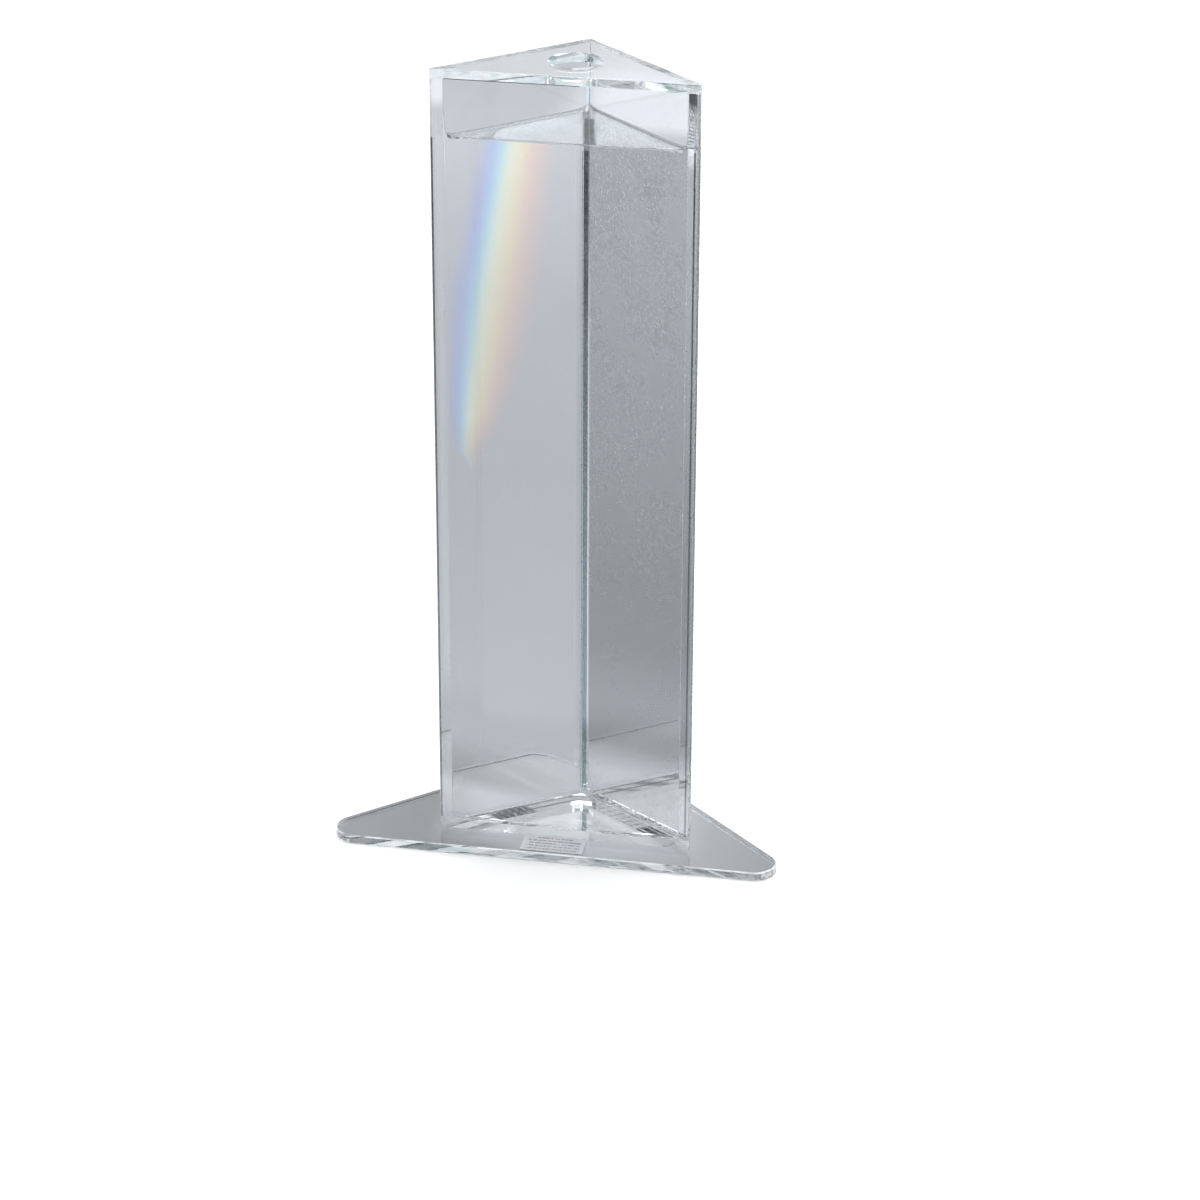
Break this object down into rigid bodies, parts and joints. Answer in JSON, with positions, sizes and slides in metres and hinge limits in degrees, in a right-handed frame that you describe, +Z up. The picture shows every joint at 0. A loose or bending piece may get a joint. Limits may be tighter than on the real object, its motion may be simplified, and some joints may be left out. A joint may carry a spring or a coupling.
{
  "type": "hollow water prism",
  "caption": "Tall hollow prism for water: a clear right-angled column of sheet acrylic, with a fill hole in its top, on a wide triangular base.",
  "frame": {"origin": "on the base plate's underside, on the column's axis: the line that lies equally far from the column's three faces", "axes": "+Z up along the column; the wide front face looks towards -Y and the rear edge is on +Y; +X to the right as seen from the front"},
  "size_m": [0.1732, 0.0954, 0.3085],
  "materials": {
    "clear_acrylic": "polished clear acrylic sheet",
    "base_acrylic": "polished clear acrylic sheet",
    "cement": "set acrylic cement with fine bubbles",
    "water": "clear still water",
    "label_foil": "satin printed foil"
  },
  "bodies": {
    "root": {"base_plate": "base_acrylic", "bottom_plate": "clear_acrylic", "front_wall": "clear_acrylic", "rear_right_wall": "clear_acrylic", "rear_left_wall": "clear_acrylic", "top_plate": "clear_acrylic", "floor_bead": "cement", "left_seam_bead": "cement", "right_seam_bead": "cement", "rear_seam_bead": "cement", "water_fill": "water", "label": "label_foil"}
  },
  "joints": []
}
